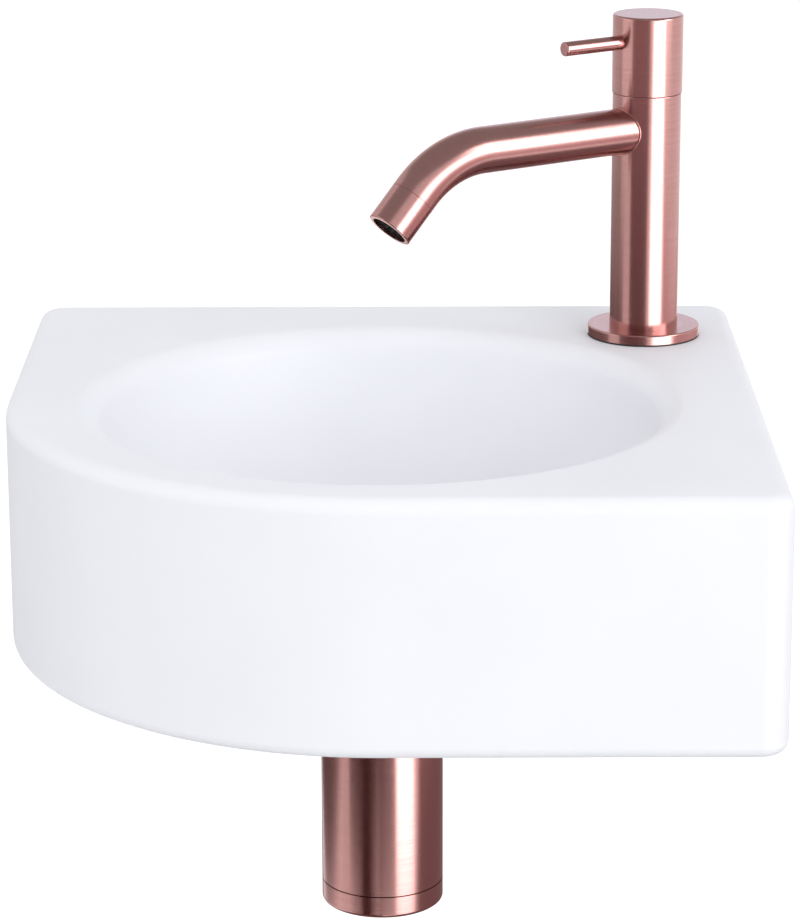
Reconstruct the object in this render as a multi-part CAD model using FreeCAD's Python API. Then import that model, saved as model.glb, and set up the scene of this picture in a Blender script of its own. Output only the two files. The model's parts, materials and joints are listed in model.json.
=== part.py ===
"""A wall-hung hand basin with one round front corner, a pillar tap and a bottle trap.

Millimetres. +Z is up, the wall is the plane y = 0 and the front looks toward -Y. The origin lies
midway between the two wall fixing holes, on the back face.
"""
import FreeCAD
import Part

import math
import os

V = FreeCAD.Vector
UP = V(0, 0, 1)
FULL_TURN = 360.0

# Shared small values: cuts run past their faces, fitted pieces have a hair of room, seams show.
overrun = 1.0
fit = 0.05
seam = 0.3
same_height = 0.001

# Basin: fireclay, glazed white, cast with a hollow underside.
basin_width = 300.0
basin_depth = 300.0
basin_height = 100.0
round_corner = 150.0
back_corner = 11.0
square_corner = 11.0
deck_edge = 6.0
foot_edge = 5.0
skirt_wall = 15.0
deck_wall = 15.0
hollow_corner = 6.0
fixing_drop = 45.0
fixing_spacing = 140.0
fixing_hole = 13.0

# Bowl: round, with a steep side, a wide sweep and a floor that falls to the drain.
bowl_shift = -1.0
bowl_side_margin = 37.0
bowl_front_margin = 27.0
bowl_back_margin = 47.0
bowl_rim_round = 14.0
bowl_side = 15.0
bowl_side_degrees = 75.0
bowl_floor_radius = 37.4
bowl_floor_degrees = 4.0
bowl_wall = 13.5
drain_hole_room = 1.7
drain_boss = 72.0
drain_boss_drop = 2.5

# Tap: brass pillar on the right of the deck, with a fixed spout.
tap_side_margin = 40.0
tap_setback = 54.5
tap_hole = 35.0
base_gasket_thickness = 0.7
base_gasket_margin = 0.6
flange_diameter = 47.2
flange_thickness = 4.0
flange_edge = 0.6
body_diameter = 28.7
body_edge = 0.5
waterway = 10.0
seat_below_spout = 27.5
chamber_diameter = 21.0

# Spout: bent tube, brazed into the body, with a screwed outlet sleeve.
spout_degrees = 33.5
spout_below_body_top = 15.3
spout_diameter = 19.2
spout_bore = 15.4
spout_run = 83.4
spout_bend_radius = 44.3
spout_bend_degrees = 46.2
spout_tail = 19.5
sleeve_length = 16.0
sleeve_bore = 17.0
sleeve_lip = 1.5
sleeve_edge = 0.5
aerator_length = 7.0
aerator_hole = 2.2
aerator_hole_rings = (1, 6, 12)
aerator_ring_step = 3.0
aerator_seal_thickness = 1.5

# Handle: a cap of the tap's own width with a thin lever rod.
handle_diameter = 29.4
handle_seam = 0.4
tap_height = 136.6
handle_height = 32.4
handle_edge = 1.0
handle_recess_diameter = 26.0
handle_roof = 18.1
lever_below_top = 10.9
lever_diameter = 6.0
lever_reach = 43.0
lever_root = 9.0
lever_edge = 0.6
grub_diameter = 4.0
grub_length = 7.0
grub_below_top = 14.6
grub_socket = 2.0
grub_socket_depth = 2.5

# Headwork: quarter-turn ceramic valve screwed into the top of the body.
seat_seal_thickness = 2.0
headwork_diameter = 17.6
headwork_thread_length = 6.0
headwork_hex = 21.0
headwork_hex_height = 4.5
headwork_neck = 14.0
headwork_below_top = 20.6
disc_diameter = 14.0
disc_thickness = 3.0
disc_room = 0.2
disc_port = 4.0
disc_port_offset = 3.6
disc_chamber_height = 12.0
window_diameter = 5.0
spindle_diameter = 8.0
spindle_below_top = 8.1
driver_width = 5.0
driver_height = 4.5
driver_room = 0.4
spindle_seal_depth = 1.2
spindle_seal_height = 1.8
spindle_seal_drops = (51.6, 45.6)
clip_diameter = 12.0
clip_thickness = 1.0
clip_groove_depth = 0.5
clip_mouth_degrees = 60.0

# Tap fixing: threaded tail with washers and a back nut under the deck.
shank_diameter = 20.8
shank_bore = 12.0
shank_grip = 14.0
shank_drop = 50.0
tail_thread_length = 18.0
tail_relief_width = 2.0
tail_relief_depth = 1.0
tap_washer_diameter = 42.0
tap_rubber_thickness = 3.0
tap_steel_thickness = 1.5
tap_nut_flats = 27.0
tap_nut_height = 8.0

# Waste: always open, with a cap that stands over the hole.
waste_flange_diameter = 63.0
waste_flange_thickness = 2.5
waste_flange_room = 1.0
waste_gasket_thickness = 1.5
waste_tail_diameter = 41.6
waste_tail_wall = 2.8
waste_tail_below_boss = 23.5
bridge_width = 6.0
bridge_height = 6.0
bridge_drop = 4.0
bridge_hub = 14.0
bridge_bite = 1.0
cap_diameter = 58.0
cap_edge_thickness = 2.5
cap_crown = 2.5
cap_rise = 6.0
stud_diameter = 8.0
stud_grip = 1.5
waste_washer_diameter = 62.0
waste_rubber_thickness = 3.0
waste_slip_thickness = 1.5
waste_nut_wall = 4.2
waste_nut_height = 8.0

# Trap: brass bottle with a height-adjustable inlet, a screwed cleaning cup and an outlet to the wall.
trap_diameter = 49.6
trap_wall = 2.0
trap_height = 76.0
trap_reveal = 14.74
trap_top_plate = 3.0
trap_edge = 1.5
pipe_diameter = 32.0
pipe_bore = 29.0
pipe_room = 0.3
union_nut_wall = 3.2
union_nut_gap = 1.5
union_gasket_thickness = 2.5
union_gasket_width = 5.75
union_lip = 1.5
inlet_flange_room = 0.55
inlet_flange_thickness = 1.5
dip_tube_clearance = 9.0
neck_diameter = 40.0
neck_height = 11.5
neck_seal_diameter = 36.0
neck_seal_height = 7.0
top_nut_diameter = 46.0
top_nut_lip = 2.0
top_nut_skirt = 9.0
cup_height = 9.0
cup_seam = 0.5
cup_floor = 3.0
cup_spigot_height = 10.0
cup_spigot_wall = 2.6
cup_thread_gap = 0.1
cup_ring_section = 2.4
cup_ring_lift = 3.5
outlet_below_top = 21.0
socket_diameter = 38.0
socket_length = 18.0
outlet_seal_length = 6.0
outlet_nut_diameter = 43.0
outlet_nut_lip = 2.0
outlet_nut_skirt = 13.0
wall_entry = 40.0
entry_mark_width = 0.8
entry_mark_depth = 0.25
rosette_diameter = 70.0
rosette_wall = 1.5
rosette_depth = 10.0
rosette_collar = 38.0
rosette_collar_depth = 17.0
rosette_ring_section = 2.0

# Levels and axes that follow from the sizes above.
deck_z = fixing_drop
foot_z = deck_z - basin_height
bowl_mouth = min(basin_width - 2 * bowl_side_margin, basin_depth - bowl_front_margin - bowl_back_margin)
bowl_setback = bowl_back_margin + bowl_mouth / 2
bowl_side_lean = math.radians(bowl_side_degrees)
bowl_floor_lean = math.radians(bowl_floor_degrees)
bowl_sweep_run = bowl_mouth / 2 - bowl_floor_radius - bowl_side * math.cos(bowl_side_lean)
bowl_sweep = bowl_sweep_run / (math.sin(bowl_side_lean) - math.sin(bowl_floor_lean))
drain_axis = V(bowl_shift, -bowl_setback, 0)
tap_axis = V(basin_width / 2 - tap_side_margin, -tap_setback, 0)
handle_high = deck_z + tap_height
handle_low = handle_high - handle_height
body_high = handle_low - handle_seam
spout_z = body_high - spout_below_body_top
seat_z = spout_z - seat_below_spout
headwork_high = handle_high - headwork_below_top
spindle_high = handle_high - spindle_below_top
lever_z = handle_high - lever_below_top
grub_z = handle_high - grub_below_top
waste_tail_bore = waste_tail_diameter - 2 * waste_tail_wall
waste_nut_flats = waste_tail_diameter + 2 * waste_nut_wall
union_nut_diameter = waste_tail_diameter + 2 * union_nut_wall
inlet_flange_diameter = waste_tail_diameter - 2 * inlet_flange_room
drain_hole = waste_tail_diameter + 2 * drain_hole_room
spout_angle = math.radians(spout_degrees)
outward = V(-math.cos(spout_angle), -math.sin(spout_angle), 0)


def disc(diameter, low, high, axis):
    """Upright cylinder about a vertical axis, from one height to another."""
    return Part.makeCylinder(diameter / 2, high - low, V(axis.x, axis.y, low))


def ring(outer, inner, low, high, axis):
    """Upright tube between two diameters."""
    return disc(outer, low, high, axis).cut(disc(inner, low, high, axis))


def rod(diameter, start, direction, length):
    """Cylinder from a point along a direction."""
    return Part.makeCylinder(diameter / 2, length, start, direction)


def hexagon(across_flats, low, high, axis):
    """Upright hexagonal prism."""
    radius = across_flats / math.sqrt(3)
    turns = [k * math.pi / 3 for k in range(7)]
    corners = [V(axis.x + radius * math.cos(a), axis.y + radius * math.sin(a), low) for a in turns]
    return Part.Face(Part.makePolygon(corners)).extrude(UP * (high - low))


def revolved(outline, axis):
    """Solid of revolution about a vertical axis from (radius, height) points."""
    points = [V(radius, 0, height) for radius, height in outline]
    solid = Part.Face(Part.makePolygon(points + points[:1])).revolve(V(0, 0, 0), UP, FULL_TURN)
    solid.translate(V(axis.x, axis.y, 0))
    return solid


def edges_at(shape, height):
    """The edges that lie flat at one height."""
    return [
        edge for edge in shape.Edges
        if abs(edge.BoundBox.ZMin - height) < same_height and abs(edge.BoundBox.ZMax - height) < same_height
    ]


def rounded_at(shape, height, radius):
    """The shape with its edges at one height rounded."""
    return shape.makeFillet(radius, edges_at(shape, height))


def widest_edge(edges):
    """The longest of some edges."""
    return max(edges, key=lambda edge: edge.Length)


# Basin

def basin_plan(inset, back_radius, front_radius):
    """Plan outline of the basin, drawn in from the outside by an inset."""
    left = -basin_width / 2 + inset
    right = basin_width / 2 - inset
    back = -inset
    front = -basin_depth + inset
    sweep = round_corner - inset
    diagonal = 1 - math.sqrt(1 / 2)
    edges = [
        Part.LineSegment(V(left + back_radius, back, 0), V(right - back_radius, back, 0)),
        Part.Arc(V(right - back_radius, back, 0),
                 V(right - back_radius * diagonal, back - back_radius * diagonal, 0),
                 V(right, back - back_radius, 0)),
        Part.LineSegment(V(right, back - back_radius, 0), V(right, front + front_radius, 0)),
        Part.Arc(V(right, front + front_radius, 0),
                 V(right - front_radius * diagonal, front + front_radius * diagonal, 0),
                 V(right - front_radius, front, 0)),
        Part.LineSegment(V(right - front_radius, front, 0), V(left + sweep, front, 0)),
        Part.Arc(V(left + sweep, front, 0),
                 V(left + sweep * diagonal, front + sweep * diagonal, 0),
                 V(left, front + sweep, 0)),
        Part.LineSegment(V(left, front + sweep, 0), V(left, back - back_radius, 0)),
        Part.Arc(V(left, back - back_radius, 0),
                 V(left + back_radius * diagonal, back - back_radius * diagonal, 0),
                 V(left + back_radius, back, 0)),
    ]
    return Part.Face(Part.Wire([edge.toShape() for edge in edges]))


def basin_block():
    """Outer form with its rounded deck and foot edges."""
    plan = basin_plan(0, back_corner, square_corner)
    plan.translate(V(0, 0, foot_z))
    block = plan.extrude(UP * basin_height)
    block = rounded_at(block, deck_z, deck_edge)
    return rounded_at(block, foot_z, foot_edge)


def into_bowl(degrees):
    """Unit normal into the bowl where its surface falls at this slope."""
    return V(-math.sin(math.radians(degrees)), 0, math.cos(math.radians(degrees)))


def bowl_form(skin):
    """The bowl's hollow when skin is 0, otherwise the outside of a wall that thick."""
    side_normal = into_bowl(bowl_side_degrees)
    floor_normal = into_bowl(bowl_floor_degrees)
    middle_normal = into_bowl((bowl_side_degrees + bowl_floor_degrees) / 2)
    down_side = V(-side_normal.z, 0, side_normal.x)
    rim = V(bowl_mouth / 2, 0, deck_z)
    side_foot = rim + down_side * bowl_side
    centre = side_foot + side_normal * bowl_sweep
    radius = bowl_sweep + skin
    side_top = rim - side_normal * skin
    sweep_start = centre - side_normal * radius
    sweep_middle = centre - middle_normal * radius
    floor_edge = centre - floor_normal * radius
    floor_fall = floor_edge.x * math.tan(math.radians(bowl_floor_degrees))
    floor_middle = V(0, 0, floor_edge.z - floor_fall)
    lid = V(0, 0, side_top.z)
    edges = [
        Part.LineSegment(lid, side_top),
        Part.LineSegment(side_top, sweep_start),
        Part.Arc(sweep_start, sweep_middle, floor_edge),
        Part.LineSegment(floor_edge, floor_middle),
        Part.LineSegment(floor_middle, lid),
    ]
    face = Part.Face(Part.Wire([edge.toShape() for edge in edges]))
    form = face.revolve(V(0, 0, 0), UP, FULL_TURN)
    form.translate(drain_axis)
    return form


def bowl_floor_height(radius):
    """Height of the bowl's floor at a distance from the drain axis."""
    lowest = bowl_form(0).BoundBox.ZMin
    return lowest + radius * math.tan(math.radians(bowl_floor_degrees))


waste_recess = waste_flange_diameter + 2 * waste_flange_room
waste_flange_top = bowl_floor_height(waste_recess / 2)
waste_flange_low = waste_flange_top - waste_flange_thickness
waste_seat = waste_flange_low - waste_gasket_thickness
boss_low = bowl_form(bowl_wall).BoundBox.ZMin - drain_boss_drop


def make_basin():
    """Skirt, deck and bowl in one casting, with its tap, drain and wall holes."""
    hollow_top = deck_z - deck_wall
    hollow = basin_plan(skirt_wall, hollow_corner, hollow_corner)
    hollow.translate(V(0, 0, foot_z - overrun))
    hollow = hollow.extrude(UP * (hollow_top - foot_z + overrun))
    boss = disc(drain_boss, boss_low, waste_seat, drain_axis)
    hollow = hollow.cut(bowl_form(bowl_wall).fuse(boss))
    basin = basin_block().cut(hollow).cut(bowl_form(0))
    rim = widest_edge([e for e in edges_at(basin, deck_z) if isinstance(e.Curve, Part.Circle)])
    basin = basin.makeFillet(bowl_rim_round, [rim])
    basin = basin.cut(disc(waste_recess, waste_seat, deck_z, drain_axis))
    basin = basin.cut(disc(drain_hole, boss_low - overrun, deck_z, drain_axis))
    basin = basin.cut(disc(tap_hole, hollow_top - overrun, deck_z + overrun, tap_axis))
    for x in (-fixing_spacing / 2, fixing_spacing / 2):
        start = V(x, -skirt_wall - overrun, 0)
        basin = basin.cut(rod(fixing_hole, start, V(0, 1, 0), skirt_wall + 2 * overrun))
    return basin


# Tap

flange_low = deck_z + base_gasket_thickness
body_low = flange_low + flange_thickness
shank_high = body_low + shank_grip
shank_low = deck_z - shank_drop
shank_hole = shank_diameter + 2 * fit


def make_base_gasket():
    return ring(flange_diameter - 2 * base_gasket_margin, shank_hole, deck_z, flange_low, tap_axis)


def make_base_flange():
    flange = rounded_at(disc(flange_diameter, flange_low, body_low, tap_axis), body_low, flange_edge)
    return flange.cut(disc(shank_hole, flange_low, body_low, tap_axis))


def make_tap_body():
    """Pillar bored for the tail below, the valve above and the spout at its side."""
    body = rounded_at(disc(body_diameter, body_low, body_high, tap_axis), body_high, body_edge)
    body = body.cut(disc(shank_hole, body_low, shank_high, tap_axis))
    body = body.cut(disc(waterway, body_low, seat_z, tap_axis))
    body = body.cut(disc(chamber_diameter, seat_z, body_high, tap_axis))
    centre = V(tap_axis.x, tap_axis.y, spout_z)
    return body.cut(rod(spout_diameter + 2 * fit, centre, outward, body_diameter))


def spout_line(angle):
    """Point and direction on the spout's bend at an angle past its start."""
    start = V(tap_axis.x, tap_axis.y, spout_z) + outward * spout_run
    centre = start - UP * spout_bend_radius
    point = centre + outward * (spout_bend_radius * math.sin(angle)) + UP * (spout_bend_radius * math.cos(angle))
    return point, outward * math.cos(angle) - UP * math.sin(angle)


spout_bend = math.radians(spout_bend_degrees)
bend_end, outlet_way = spout_line(spout_bend)
spout_tip = bend_end + outlet_way * spout_tail
sleeve_start = spout_tip - outlet_way * sleeve_length
spigot_length = sleeve_length - sleeve_lip - aerator_length - aerator_seal_thickness


def spout_bar(diameter):
    """Solid bar along the spout's centre line, from the tap axis to the sleeve."""
    start = V(tap_axis.x, tap_axis.y, spout_z)
    bend_start = spout_line(0)[0]
    path = Part.Wire([
        Part.LineSegment(start, bend_start).toShape(),
        Part.Arc(bend_start, spout_line(spout_bend / 2)[0], bend_end).toShape(),
        Part.LineSegment(bend_end, sleeve_start).toShape(),
    ])
    return path.makePipeShell([Part.Wire([Part.makeCircle(diameter / 2, start, outward)])], True, False)


def make_spout_tube():
    """Bent tube with a saddle at the valve chamber and a thin spigot for the sleeve."""
    tube = spout_bar(spout_diameter)
    tube = tube.fuse(rod(sleeve_bore - 2 * fit, sleeve_start, outlet_way, spigot_length)).removeSplitter()
    tube = tube.cut(spout_bar(spout_bore))
    tube = tube.cut(rod(spout_bore, sleeve_start, outlet_way, spigot_length))
    return tube.cut(disc(chamber_diameter + 2 * fit, deck_z, body_high, tap_axis))


def make_outlet_sleeve():
    """Screwed sleeve that holds the aerator against its lip."""
    sleeve = rod(spout_diameter, sleeve_start, outlet_way, sleeve_length)
    tip_edge = [e for e in sleeve.Edges if e.CenterOfMass.distanceToPoint(spout_tip) < sleeve_lip]
    sleeve = sleeve.makeFillet(sleeve_edge, tip_edge)
    sleeve = sleeve.cut(rod(sleeve_bore, sleeve_start, outlet_way, sleeve_length - sleeve_lip))
    return sleeve.cut(rod(spout_bore, sleeve_start, outlet_way, sleeve_length))


def make_aerator():
    """Plastic insert with rings of flow holes."""
    start = spout_tip - outlet_way * (sleeve_lip + aerator_length)
    side = outward * math.sin(spout_bend) + UP * math.cos(spout_bend)
    insert = rod(sleeve_bore - 2 * fit, start, outlet_way, aerator_length)
    for number, count in enumerate(aerator_hole_rings):
        for k in range(count):
            turn = FreeCAD.Rotation(outlet_way, FULL_TURN * k / count)
            place = start + turn.multVec(side) * (aerator_ring_step * number)
            insert = insert.cut(rod(aerator_hole, place, outlet_way, aerator_length))
    return insert


def make_aerator_seal():
    start = sleeve_start + outlet_way * spigot_length
    seal = rod(sleeve_bore - 2 * fit, start, outlet_way, aerator_seal_thickness)
    return seal.cut(rod(spout_bore, start, outlet_way, aerator_seal_thickness))


# Handle

def make_handle_cap():
    """Cap with a recess for the valve's hexagon and sockets for spindle, lever and grub screw."""
    cap = rounded_at(disc(handle_diameter, handle_low, handle_high, tap_axis), handle_high, handle_edge)
    cap = cap.cut(disc(handle_recess_diameter, handle_low, handle_high - handle_roof, tap_axis))
    cap = cap.cut(disc(spindle_diameter + 2 * fit, handle_low, spindle_high + fit, tap_axis))
    lever_start = V(tap_axis.x, tap_axis.y, lever_z) + outward * (lever_root - fit)
    cap = cap.cut(rod(lever_diameter + 2 * fit, lever_start, outward, handle_diameter))
    grub_start = V(tap_axis.x, tap_axis.y, grub_z)
    return cap.cut(rod(grub_diameter + 2 * fit, grub_start, -outward, handle_diameter))


def make_lever_rod():
    """Plain rod screwed into the cap, with a softly broken tip."""
    start = V(tap_axis.x, tap_axis.y, lever_z) + outward * lever_root
    tip = V(tap_axis.x, tap_axis.y, lever_z) + outward * lever_reach
    lever = rod(lever_diameter, start, outward, lever_reach - lever_root)
    tip_edge = [e for e in lever.Edges if e.CenterOfMass.distanceToPoint(tip) < lever_diameter]
    return lever.makeFillet(lever_edge, [e for e in tip_edge if isinstance(e.Curve, Part.Circle)])


def make_grub_screw():
    """Socket screw that presses the cap onto the spindle from behind."""
    start = V(tap_axis.x, tap_axis.y, grub_z) - outward * (spindle_diameter / 2)
    screw = rod(grub_diameter, start, -outward, grub_length)
    socket_start = start - outward * (grub_length - grub_socket_depth)
    return screw.cut(rod(grub_socket, socket_start, -outward, grub_socket_depth))


# Headwork

headwork_low = seat_z + seat_seal_thickness
headwork_thread_low = body_high - headwork_thread_length
fixed_disc_top = headwork_low + disc_thickness
turning_disc_top = fixed_disc_top + disc_thickness
driver_top = turning_disc_top + driver_height
disc_chamber = disc_diameter + 2 * disc_room
disc_chamber_top = headwork_low + disc_chamber_height


def make_seat_seal():
    return ring(headwork_diameter, waterway, seat_z, headwork_low, tap_axis)


def make_headwork_body():
    """Brass sleeve: disc chamber, spindle bore, thread, hexagon and neck."""
    hex_top = body_high + headwork_hex_height
    sleeve = disc(headwork_diameter, headwork_low, headwork_thread_low, tap_axis)
    sleeve = sleeve.fuse(disc(chamber_diameter - 2 * fit, headwork_thread_low, body_high, tap_axis))
    sleeve = sleeve.fuse(hexagon(headwork_hex, body_high, hex_top, tap_axis))
    sleeve = sleeve.fuse(disc(headwork_neck, hex_top, headwork_high, tap_axis))
    sleeve = sleeve.cut(disc(disc_chamber, headwork_low, disc_chamber_top, tap_axis))
    sleeve = sleeve.cut(disc(spindle_diameter + 2 * fit, headwork_low, headwork_high, tap_axis))
    window_start = V(tap_axis.x, tap_axis.y, turning_disc_top + window_diameter / 2)
    for way in (outward, -outward):
        sleeve = sleeve.cut(rod(window_diameter, window_start, way, headwork_diameter))
    return sleeve


def ported_disc(low, way):
    """Ceramic disc with two water ports, set along one direction."""
    wafer = disc(disc_diameter, low, low + disc_thickness, tap_axis)
    for side in (-disc_port_offset, disc_port_offset):
        wafer = wafer.cut(disc(disc_port, low, low + disc_thickness, tap_axis + way * side))
    return wafer


def make_spindle():
    """Shaft with a driver bar below, two seal grooves and a clip groove above the neck."""
    shaft = disc(spindle_diameter, turning_disc_top, spindle_high, tap_axis)
    foot = disc(disc_diameter - 2 * driver_room, turning_disc_top, driver_top, tap_axis)
    bar = Part.makeBox(disc_diameter, driver_width, driver_height,
                       V(tap_axis.x - disc_diameter / 2, tap_axis.y - driver_width / 2, turning_disc_top))
    shaft = shaft.fuse(foot.common(bar))
    for drop in spindle_seal_drops:
        shaft = shaft.cut(spindle_groove(handle_high - drop, spindle_seal_depth, spindle_seal_height))
    return shaft.cut(spindle_groove(headwork_high + seam, clip_groove_depth, clip_thickness))


def spindle_groove(low, depth, height):
    """Ring of metal that a groove takes out of the spindle."""
    return ring(spindle_diameter + overrun, spindle_diameter - 2 * depth, low, low + height, tap_axis)


def make_spindle_seals():
    """Two rubber rings in the spindle's grooves."""
    inner = spindle_diameter - 2 * spindle_seal_depth
    lows = [handle_high - drop for drop in spindle_seal_drops]
    return Part.makeCompound(
        [ring(spindle_diameter, inner, low, low + spindle_seal_height, tap_axis) for low in lows]
    )


def make_spindle_clip():
    """Open spring clip above the neck that keeps the spindle from dropping."""
    low = headwork_high + seam
    clip = ring(clip_diameter, spindle_diameter - 2 * clip_groove_depth, low, low + clip_thickness, tap_axis)
    mouth = Part.makeCylinder(clip_diameter, clip_thickness, V(tap_axis.x, tap_axis.y, low), UP, clip_mouth_degrees)
    return clip.cut(mouth)


# Tap fixing

tap_rubber_low = deck_z - deck_wall - tap_rubber_thickness
tap_steel_low = tap_rubber_low - tap_steel_thickness
tap_nut_low = tap_steel_low - tap_nut_height


def make_tap_shank():
    """Threaded tail with a relief between the hose thread and the nut thread."""
    relief_low = shank_low + tail_thread_length
    relief_high = relief_low + tail_relief_width
    relief_core = shank_diameter - 2 * tail_relief_depth
    tail = ring(shank_diameter, shank_bore, shank_low, shank_high, tap_axis)
    return tail.cut(ring(shank_diameter + overrun, relief_core, relief_low, relief_high, tap_axis))


def make_tap_rubber_washer():
    return ring(tap_washer_diameter, shank_hole, tap_rubber_low, deck_z - deck_wall, tap_axis)


def make_tap_steel_washer():
    return ring(tap_washer_diameter, shank_hole, tap_steel_low, tap_rubber_low, tap_axis)


def make_tap_back_nut():
    nut = hexagon(tap_nut_flats, tap_nut_low, tap_steel_low, tap_axis)
    return nut.cut(disc(shank_hole, tap_nut_low, tap_steel_low, tap_axis))


# Waste

waste_tail_low = boss_low - waste_tail_below_boss
bridge_high = waste_flange_low - bridge_drop
bridge_low = bridge_high - bridge_height
cap_low = waste_flange_top + cap_rise
waste_tail_hole = waste_tail_diameter + 2 * fit
waste_rubber_low = boss_low - waste_rubber_thickness
waste_slip_low = waste_rubber_low - waste_slip_thickness
waste_nut_low = waste_slip_low - waste_nut_height


def make_waste_gasket():
    return ring(waste_flange_diameter, waste_tail_hole, waste_seat, waste_flange_low, drain_axis)


def make_waste_body():
    """Flange and threaded tail with a cross bridge that carries the cap's stud."""
    flange = disc(waste_flange_diameter, waste_flange_low, waste_flange_top, drain_axis)
    tail = disc(waste_tail_diameter, waste_tail_low, waste_flange_low, drain_axis)
    body = flange.fuse(tail).cut(disc(waste_tail_bore, waste_tail_low, waste_flange_top, drain_axis))
    bar_start = V(drain_axis.x - waste_tail_diameter / 2, drain_axis.y - bridge_width / 2, bridge_low)
    bar = Part.makeBox(waste_tail_diameter, bridge_width, bridge_height, bar_start)
    cross = bar.copy()
    cross.rotate(drain_axis, UP, FULL_TURN / 4)
    inside = disc(waste_tail_bore + 2 * bridge_bite, bridge_low, bridge_high, drain_axis)
    bridge = bar.fuse(cross).common(inside).fuse(disc(bridge_hub, bridge_low, bridge_high, drain_axis))
    body = body.fuse(bridge)
    return body.cut(disc(stud_diameter + 2 * fit, bridge_low, bridge_high, drain_axis)).removeSplitter()


def make_drain_cap():
    """Shallow dome that hides the open drain, bored from below for its stud."""
    edge_high = cap_low + cap_edge_thickness
    radius = cap_diameter / 2
    crown_radius = (radius ** 2 + cap_crown ** 2) / (2 * cap_crown)
    dome = Part.makeSphere(crown_radius, V(drain_axis.x, drain_axis.y, edge_high + cap_crown - crown_radius))
    cap = disc(cap_diameter, cap_low, edge_high + cap_crown, drain_axis).common(dome)
    return cap.cut(disc(stud_diameter + 2 * fit, cap_low, cap_low + stud_grip, drain_axis))


def make_cap_stud():
    return disc(stud_diameter, bridge_low, cap_low + stud_grip, drain_axis)


def make_waste_rubber_washer():
    return ring(waste_washer_diameter, waste_tail_hole, waste_rubber_low, boss_low, drain_axis)


def make_waste_slip_washer():
    return ring(waste_washer_diameter, waste_tail_hole, waste_slip_low, waste_rubber_low, drain_axis)


def make_waste_back_nut():
    nut = hexagon(waste_nut_flats, waste_nut_low, waste_slip_low, drain_axis)
    return nut.cut(disc(waste_tail_hole, waste_nut_low, waste_slip_low, drain_axis))


# Trap inlet

union_nut_high = waste_nut_low - union_nut_gap
inlet_flange_top = waste_tail_low - union_gasket_thickness
inlet_flange_low = inlet_flange_top - inlet_flange_thickness
union_nut_low = inlet_flange_low - union_lip
pipe_hole = pipe_diameter + 2 * pipe_room
trap_top = union_nut_low - trap_reveal
trap_bottom = trap_top - trap_height
dip_tube_low = trap_bottom + dip_tube_clearance
neck_high = trap_top + neck_height
neck_seal_low = neck_high - neck_seal_height
top_nut_high = neck_high + top_nut_lip
top_nut_low = neck_high - top_nut_skirt


def make_union_nut():
    """Round nut on the waste's thread that pulls the inlet's flange up."""
    nut = disc(union_nut_diameter, union_nut_low, union_nut_high, drain_axis)
    nut = nut.cut(disc(waste_tail_hole, inlet_flange_low, union_nut_high, drain_axis))
    return nut.cut(disc(pipe_hole, union_nut_low, inlet_flange_low, drain_axis))


def make_union_gasket():
    gasket_bore = inlet_flange_diameter - 2 * union_gasket_width
    return ring(inlet_flange_diameter, gasket_bore, inlet_flange_top, waste_tail_low, drain_axis)


def make_dip_tube():
    """Inlet pipe with a top flange, dipping deep into the bottle."""
    tube = disc(pipe_diameter, dip_tube_low, inlet_flange_top, drain_axis)
    tube = tube.fuse(disc(inlet_flange_diameter, inlet_flange_low, inlet_flange_top, drain_axis))
    return tube.cut(disc(pipe_bore, dip_tube_low, inlet_flange_top, drain_axis))


def make_top_nut():
    """Compression nut over the bottle's neck."""
    nut = disc(top_nut_diameter, top_nut_low, top_nut_high, drain_axis)
    nut = nut.cut(disc(neck_diameter + 2 * fit, top_nut_low, neck_high, drain_axis))
    return nut.cut(disc(pipe_hole, neck_high, top_nut_high, drain_axis))


def make_top_seal():
    return ring(neck_seal_diameter, pipe_diameter + 2 * fit, neck_seal_low, neck_high, drain_axis)


# Trap bottle and cup

cup_top = trap_bottom + cup_height
body_rim = cup_top + cup_seam
bottle_bore = trap_diameter - 2 * trap_wall
cup_spigot_diameter = bottle_bore - 2 * cup_thread_gap
cup_bore = cup_spigot_diameter - 2 * cup_spigot_wall
cup_ring_z = cup_top + cup_ring_lift
cup_ring_radius = (bottle_bore - cup_ring_section) / 2 - fit
outlet_z = trap_top - outlet_below_top
outlet_way_back = V(0, 1, 0)
outlet_start = V(drain_axis.x, drain_axis.y, outlet_z)
socket_end = trap_diameter / 2 + socket_length
outlet_seal_start = socket_end - outlet_seal_length


def along_outlet(diameter, start, end):
    """Cylinder on the outlet's axis between two distances from the bottle's axis."""
    return rod(diameter, outlet_start + outlet_way_back * start, outlet_way_back, end - start)


def make_trap_body():
    """Bottle with a threaded neck on top, an outlet socket behind and an open foot."""
    bottle = rounded_at(disc(trap_diameter, body_rim, trap_top, drain_axis), trap_top, trap_edge)
    bottle = bottle.fuse(disc(neck_diameter, trap_top, neck_high, drain_axis))
    bottle = bottle.fuse(along_outlet(socket_diameter, 0, socket_end))
    bottle = bottle.cut(disc(bottle_bore, body_rim, trap_top - trap_top_plate, drain_axis))
    bottle = bottle.cut(disc(pipe_hole, body_rim, neck_high, drain_axis))
    bottle = bottle.cut(disc(neck_seal_diameter + 2 * fit, neck_seal_low, neck_high, drain_axis))
    bottle = bottle.cut(along_outlet(pipe_bore, 0, socket_end))
    bottle = bottle.cut(along_outlet(pipe_diameter + 2 * fit, trap_diameter / 2, socket_end))
    return bottle.cut(along_outlet(neck_seal_diameter + 2 * fit, outlet_seal_start, socket_end))


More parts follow.
